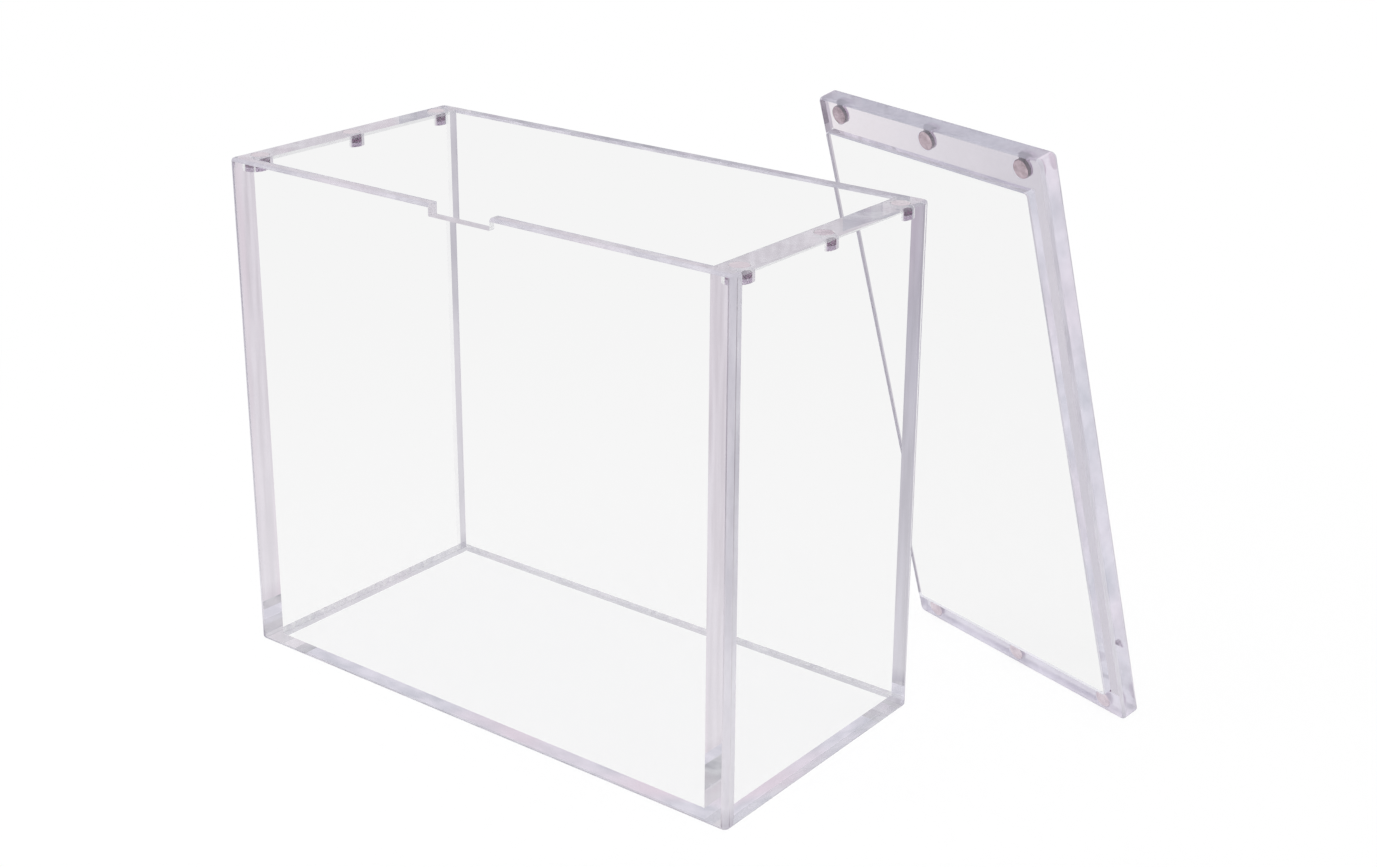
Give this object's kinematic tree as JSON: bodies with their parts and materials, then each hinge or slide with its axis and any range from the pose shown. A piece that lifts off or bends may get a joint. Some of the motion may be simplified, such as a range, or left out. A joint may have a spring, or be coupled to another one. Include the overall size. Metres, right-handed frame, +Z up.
{
  "type": "trading card display case",
  "caption": "Clear acrylic display case with a finger notch in its front rim and a lift-off magnetic lid, stored leaning on the case.",
  "frame": {"origin": "middle of the case's underside", "axes": "+Z up, +X to the right along the case's long side, -Y towards the front panel with the finger notch"},
  "size_m": [0.2779, 0.176, 0.2055],
  "materials": {
    "clear_acrylic": "clear cast sheet, flame polished edges",
    "nickel_plate": "bright nickel plating, slightly satin",
    "set_adhesive": "set clear adhesive with a lilac cast"
  },
  "bodies": {
    "case": {"front_panel": "clear_acrylic", "back_panel": "clear_acrylic", "left_side_panel": "clear_acrylic", "right_side_panel": "clear_acrylic", "base_panel": "clear_acrylic", "case_magnet_left_front": "nickel_plate", "case_magnet_left_middle": "nickel_plate", "case_magnet_left_back": "nickel_plate", "case_magnet_right_front": "nickel_plate", "case_magnet_right_middle": "nickel_plate", "case_magnet_right_back": "nickel_plate", "case_glue_left_front": "set_adhesive", "case_glue_left_middle": "set_adhesive", "case_glue_left_back": "set_adhesive", "case_glue_right_front": "set_adhesive", "case_glue_right_middle": "set_adhesive", "case_glue_right_back": "set_adhesive"},
    "lid": {"lid_plate": "clear_acrylic", "locating_plate": "clear_acrylic", "lid_magnet_lower_left": "nickel_plate", "lid_magnet_lower_middle": "nickel_plate", "lid_magnet_lower_right": "nickel_plate", "lid_magnet_upper_left": "nickel_plate", "lid_magnet_upper_middle": "nickel_plate", "lid_magnet_upper_right": "nickel_plate", "lid_glue_lower_left": "set_adhesive", "lid_glue_lower_middle": "set_adhesive", "lid_glue_lower_right": "set_adhesive", "lid_glue_upper_left": "set_adhesive", "lid_glue_upper_middle": "set_adhesive", "lid_glue_upper_right": "set_adhesive"}
  },
  "joints": [
    {"name": "lid_lift", "type": "slide", "parent": "case", "child": "lid", "axis": [0, 0, 1], "range_m": [0, 0.2]}
  ]
}
